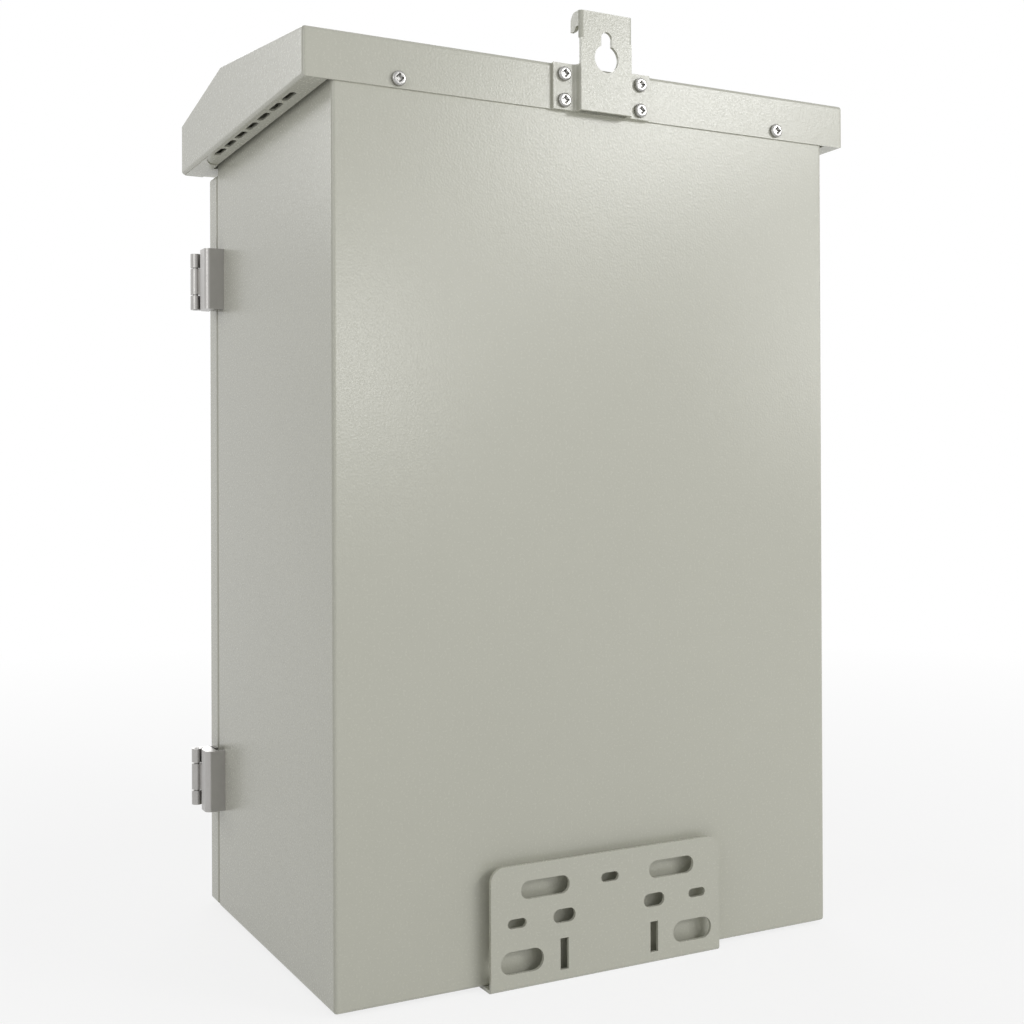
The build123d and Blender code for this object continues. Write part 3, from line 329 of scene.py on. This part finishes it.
class CABINET_OT_finish_seals_and_plastic(bpy.types.Operator):
    """Finish the seals, the blanking plugs and the rod guides"""

    bl_idname = "cabinet.finish_seals_and_plastic"
    bl_label = "Finish Seals and Plastic"

    def execute(self, context):
        group = shared_group("fine_grain", make_grain_group)
        rubber = finish_material(
            "black_rubber", group,
            {"Color": (0.022, 0.022, 0.022), "Patch Color": (0.03, 0.03, 0.03), "Roughness": 0.62,
             "Spread": 0.15, "Grain Size": 0.0007, "Patch Size": 0.02},
            bump=0.00002)
        foam = finish_material(
            "foamed_seal", group,
            {"Color": (0.035, 0.035, 0.036), "Patch Color": (0.05, 0.05, 0.05), "Roughness": 0.82,
             "Spread": 0.2, "Grain Size": 0.0011, "Patch Size": 0.01},
            bump=0.00012)
        grey = finish_material(
            "grey_plastic", group,
            {"Color": (0.17, 0.175, 0.175), "Patch Color": (0.155, 0.16, 0.16), "Roughness": 0.48,
             "Spread": 0.1, "Grain Size": 0.0006, "Patch Size": 0.015},
            bump=0.00002)
        black = finish_material(
            "black_plastic", group,
            {"Color": (0.02, 0.02, 0.021), "Patch Color": (0.026, 0.026, 0.027), "Roughness": 0.44,
             "Spread": 0.1, "Grain Size": 0.0006, "Patch Size": 0.015},
            bump=0.00002)
        dress(("gland_gasket", "latch_gasket"), rubber)
        dress(("door_gasket",), foam)
        dress(("blanking_plugs",), grey)
        dress(("rod_guides",), black)
        return {"FINISHED"}


# Studio

def add_lamp(name, place, aim, size, power, roll=0.0):
    """A rectangular area lamp that points at a spot, turned about its own axis by a roll in degrees."""
    data = bpy.data.lights.new(name, "AREA")
    data.shape = "RECTANGLE"
    data.size, data.size_y = size
    data.energy = power
    lamp = bpy.data.objects.new(name, data)
    bpy.context.scene.collection.objects.link(lamp)
    lamp.location = place
    turn = (Vector(aim) - Vector(place)).to_track_quat("-Z", "Y")
    lamp.rotation_euler = (turn @ Quaternion((0, 0, 1), math.radians(roll))).to_euler()
    lamp.visible_camera = False


def studio_rays(tree):
    """One where the camera, a reflection or a view through glass sees the studio, else zero."""
    rays = tree.nodes.new("ShaderNodeLightPath")
    seen = math_node(tree, "MAXIMUM", rays.outputs["Is Camera Ray"], rays.outputs["Is Glossy Ray"])
    return math_node(tree, "MAXIMUM", seen, rays.outputs["Is Transmission Ray"])


def make_floor_material(color):
    """Pale floor that looks white to the camera, takes the shadow and fades into the background."""
    material = bpy.data.materials.new("studio_floor")
    material.use_nodes = True
    tree = material.node_tree
    tree.nodes.clear()
    diffuse = tree.nodes.new("ShaderNodeBsdfDiffuse")
    diffuse.inputs["Color"].default_value = (*color, 1.0)
    glow = tree.nodes.new("ShaderNodeEmission")
    place = tree.nodes.new("ShaderNodeTexCoord").outputs["Object"]
    reach = tree.nodes.new("ShaderNodeVectorMath")
    reach.operation = "LENGTH"
    tree.links.new(place, reach.inputs[0])
    fade = range_node(tree, reach.outputs["Value"], *FLOOR_FADE, FLOOR_GLOW, 1.0)
    share = math_node(tree, "MULTIPLY", studio_rays(tree), fade)
    mix = tree.nodes.new("ShaderNodeMixShader")
    output = tree.nodes.new("ShaderNodeOutputMaterial")
    tree.links.new(share, mix.inputs[0])
    tree.links.new(diffuse.outputs[0], mix.inputs[1])
    tree.links.new(glow.outputs[0], mix.inputs[2])
    tree.links.new(mix.outputs[0], output.inputs[0])
    return material


class CABINET_OT_make_stage(bpy.types.Operator):
    """Add the pale floor, the soft lamps and the camera"""

    bl_idname = "cabinet.make_stage"
    bl_label = "Make Stage"

    def execute(self, context):
        stage = context.scene.cabinet_stage
        scene = context.scene
        bpy.ops.object.select_all(action="DESELECT")
        bpy.ops.mesh.primitive_plane_add(size=stage.floor_size)
        floor = context.active_object
        floor.name = "floor"
        floor.data.materials.append(make_floor_material(tuple(stage.floor)))

        world = bpy.data.worlds.new("studio")
        scene.world = world
        world.use_nodes = True
        tree = world.node_tree
        background = tree.nodes["Background"]
        strength = range_node(tree, studio_rays(tree), 0.0, 1.0, stage.ambient, 1.0)
        tree.links.new(strength, background.inputs["Strength"])
        background.inputs["Color"].default_value = (1, 1, 1, 1)

        add_lamp("key_lamp", (-1.481, 2.162, 1.31), (-0.02, 0.15, 0.55), (0.8, 0.42),
                 stage.key_power, roll=12)
        add_lamp("strip_lamp", (-1.47, 2.15, 1.30), (-0.02, 0.15, 0.5), (1.9, 0.42),
                 stage.strip_power, roll=40)
        add_lamp("left_lamp", (-0.562, 2.217, 0.594), (0.17, 0.15, 0.41), (0.32, 0.32),
                 stage.spot_power)
        add_lamp("right_lamp", (-1.89, 1.75, 0.68), (-0.12, 0.15, 0.45), (0.8, 0.5),
                 RIGHT_LAMP_RATIO * stage.spot_power)
        add_lamp("hinge_lamp", (1.35, -1.75, 1.35), (0.22, 0.10, 0.5), (0.6, 0.9),
                 stage.hinge_power)
        add_lamp("side_lamp", (0.95, 0.55, 0.75), (0.22, 0.10, 0.55), (0.4, 0.4),
                 stage.side_power)
        add_lamp("front_lamp", (-0.9, -2.3, 1.3), (0.0, 0.0, 0.35), (1.6, 1.6),
                 stage.front_power)

        data = bpy.data.cameras.new("photo_camera")
        data.lens = stage.lens
        data.sensor_width = CAMERA_SENSOR
        data.shift_y = CAMERA_SHIFT
        camera = bpy.data.objects.new("photo_camera", data)
        scene.collection.objects.link(camera)
        yaw, pitch, roll = (math.radians(angle) for angle in (CAMERA_YAW, CAMERA_PITCH, CAMERA_ROLL))
        forward = Vector((-math.sin(yaw) * math.cos(pitch), -math.cos(yaw) * math.cos(pitch),
                          math.sin(pitch)))
        right = Vector((-math.cos(yaw), math.sin(yaw), 0.0))
        up = right.cross(forward)
        right, up = (right * math.cos(roll) + up * math.sin(roll),
                     up * math.cos(roll) - right * math.sin(roll))
        turn = Matrix((right, up, -forward)).transposed().to_4x4()
        camera.matrix_world = Matrix.Translation(CAMERA_PLACE) @ turn
        scene.camera = camera
        scene.view_settings.view_transform = "Standard"
        return {"FINISHED"}


class CABINET_PT_sidebar(bpy.types.Panel):
    """Lists the cabinet's settings and steps"""

    bl_idname = "CABINET_PT_sidebar"
    bl_label = "Utility Cabinet"
    bl_space_type = "VIEW_3D"
    bl_region_type = "UI"
    bl_category = "Cabinet"

    def draw(self, context):
        for key in SETTINGS:
            group = getattr(context.scene, key)
            box = self.layout.box()
            for name in group.__annotations__:
                box.prop(group, name)
        for step in STEPS:
            self.layout.operator(step.bl_idname)


SETTINGS = {"cabinet_paint": CabinetPaint, "cabinet_metal": CabinetMetal, "cabinet_stage": CabinetStage}
STEPS = (
    CABINET_OT_coat_sheet_metal,
    CABINET_OT_finish_metal,
    CABINET_OT_finish_seals_and_plastic,
    CABINET_OT_make_stage,
)


def register():
    """Make the settings, the steps and the panel known to Blender."""
    for kind in (*SETTINGS.values(), *STEPS, CABINET_PT_sidebar):
        bpy.utils.register_class(kind)
    for name, kind in SETTINGS.items():
        setattr(bpy.types.Scene, name, PointerProperty(type=kind))


def unregister():
    """Take the settings, the steps and the panel out of Blender."""
    for name in SETTINGS:
        delattr(bpy.types.Scene, name)
    for kind in reversed((*SETTINGS.values(), *STEPS, CABINET_PT_sidebar)):
        bpy.utils.unregister_class(kind)


def main():
    """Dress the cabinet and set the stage."""
    register()
    bpy.ops.cabinet.coat_sheet_metal()
    bpy.ops.cabinet.finish_metal()
    bpy.ops.cabinet.finish_seals_and_plastic()
    bpy.ops.cabinet.make_stage()


if __name__ == "__main__":
    main()
